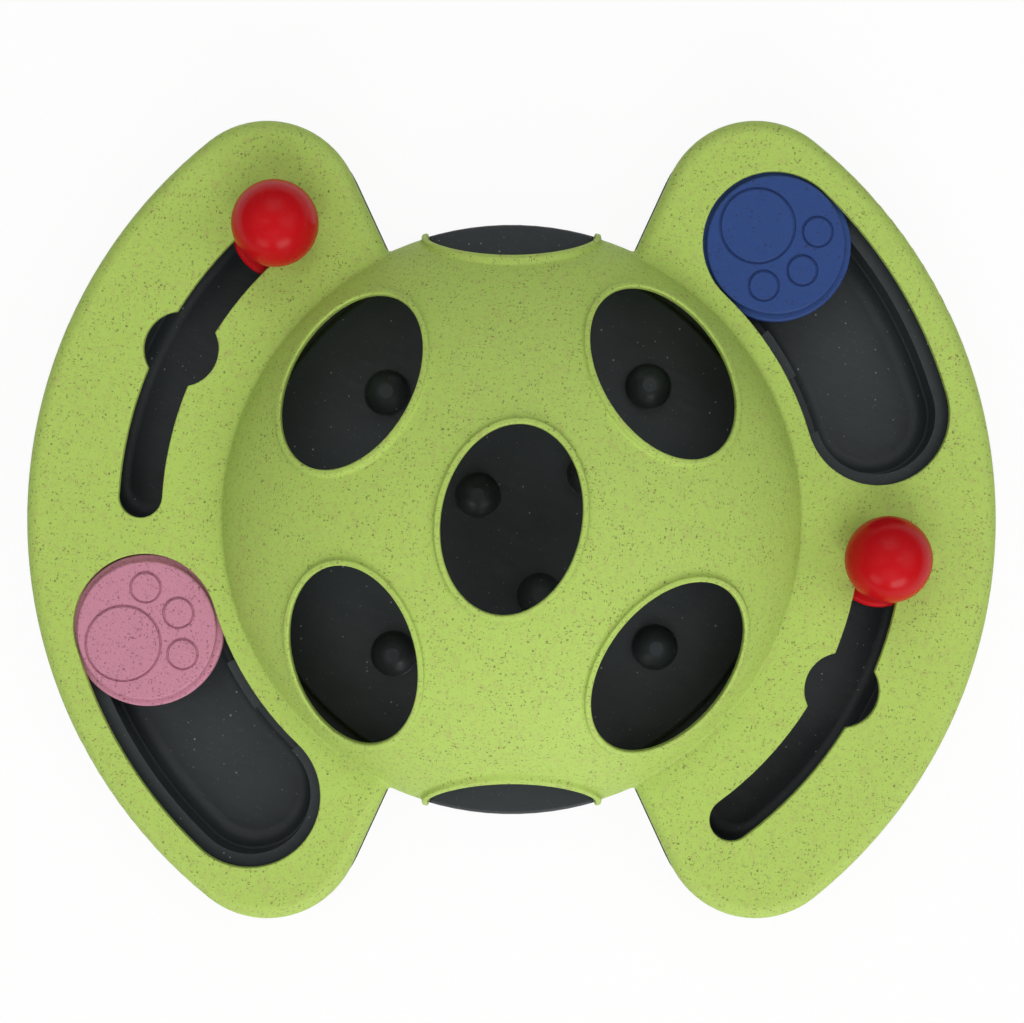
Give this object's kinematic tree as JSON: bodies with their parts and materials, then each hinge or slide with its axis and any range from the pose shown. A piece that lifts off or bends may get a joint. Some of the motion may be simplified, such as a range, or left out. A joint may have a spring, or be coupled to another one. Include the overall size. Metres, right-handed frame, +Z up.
{
  "type": "dog puzzle feeder toy",
  "caption": "Green treat puzzle with a domed centre pierced by oval holes and two doorways, and two flat wings with sliding paw discs and sliding ball knobs over treat pans.",
  "frame": {"origin": "on the ground under the dome's axis, which is the middle of the footprint", "axes": "+X along the right wing, +Z up, -Y towards the front doorway, which is nearest in the pictured pose"},
  "size_m": [0.3326, 0.274, 0.0709],
  "materials": {
    "green_case": "satin, fine dark specks",
    "black_tray": "satin",
    "red_knob": "glossy",
    "blue_disc": "satin, fine specks",
    "pink_disc": "satin, fine specks",
    "rubber": "matte",
    "screw_steel": "zinc plated"
  },
  "bodies": {
    "case": {"dome_shell": "green_case", "wing_shell_left": "green_case", "wing_shell_right": "green_case", "base_tray": "black_tray", "treat_pegs": "black_tray", "disc_pan_left": "black_tray", "disc_pan_right": "black_tray", "ball_pan_left": "black_tray", "ball_pan_right": "black_tray", "case_screws": "screw_steel", "rubber_foot_1": "rubber", "rubber_foot_2": "rubber", "rubber_foot_3": "rubber", "rubber_foot_4": "rubber", "rubber_foot_5": "rubber", "rubber_foot_6": "rubber"},
    "slider_left": {"knob_left": "red_knob", "slider_foot_left": "red_knob", "knob_screw_left": "screw_steel"},
    "slider_right": {"knob_right": "red_knob", "slider_foot_right": "red_knob", "knob_screw_right": "screw_steel"},
    "blue_disc": {"disc_blue": "blue_disc"},
    "pink_disc": {"disc_pink": "pink_disc"}
  },
  "joints": [
    {"name": "slide_left_ball", "type": "hinge", "parent": "case", "child": "slider_left", "pos_m": [0, 0, 0], "axis": [0, 0, 1], "range_deg": [0, 45.36]},
    {"name": "slide_right_ball", "type": "hinge", "parent": "case", "child": "slider_right", "pos_m": [0, 0, 0], "axis": [0, 0, 1], "range_deg": [-45.36, 0]},
    {"name": "slide_blue_disc", "type": "hinge", "parent": "case", "child": "blue_disc", "pos_m": [0, 0, 0], "axis": [0, 0, 1], "range_deg": [-29.99, 0.35]},
    {"name": "slide_pink_disc", "type": "hinge", "parent": "case", "child": "pink_disc", "pos_m": [0, 0, 0], "axis": [0, 0, 1], "range_deg": [-0.8, 29.54]}
  ]
}
